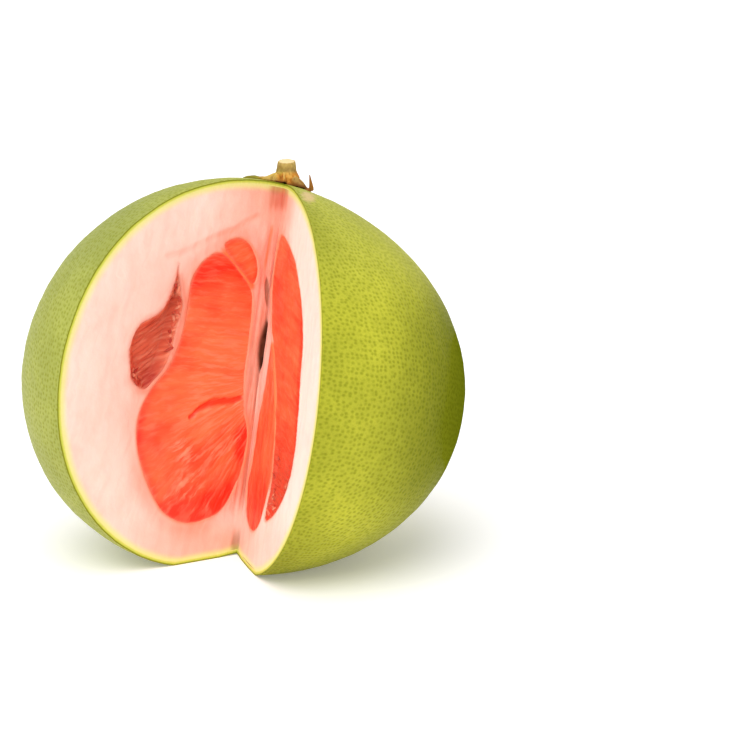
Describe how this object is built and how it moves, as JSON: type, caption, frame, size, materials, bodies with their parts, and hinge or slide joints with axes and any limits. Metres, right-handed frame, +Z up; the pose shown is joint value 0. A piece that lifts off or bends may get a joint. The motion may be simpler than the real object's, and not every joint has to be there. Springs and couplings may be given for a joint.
{
  "type": "cut pomelo",
  "caption": "Round citrus fruit with a wedge cut out from stalk to base, showing thick pale pith and red flesh, resting upright.",
  "frame": {"origin": "on the ground, under the middle of the fruit's bounding box", "axes": "+X across the fruit's widest side, +Y away from the cut, +Z up from the blossom end to the stalk"},
  "size_m": [0.1623, 0.1548, 0.144],
  "materials": {
    "rind": null,
    "pith": null,
    "flesh": null,
    "dry_flesh": null,
    "stem": "dry woody stalk stub and calyx"
  },
  "bodies": {
    "root": {"rind": "rind", "pith": "pith", "flesh_left_large": "flesh", "flesh_left_tip": "flesh", "flesh_left_hollow": "dry_flesh", "flesh_right_outer": "flesh", "flesh_right_inner": "flesh", "stem": "stem"}
  },
  "joints": []
}
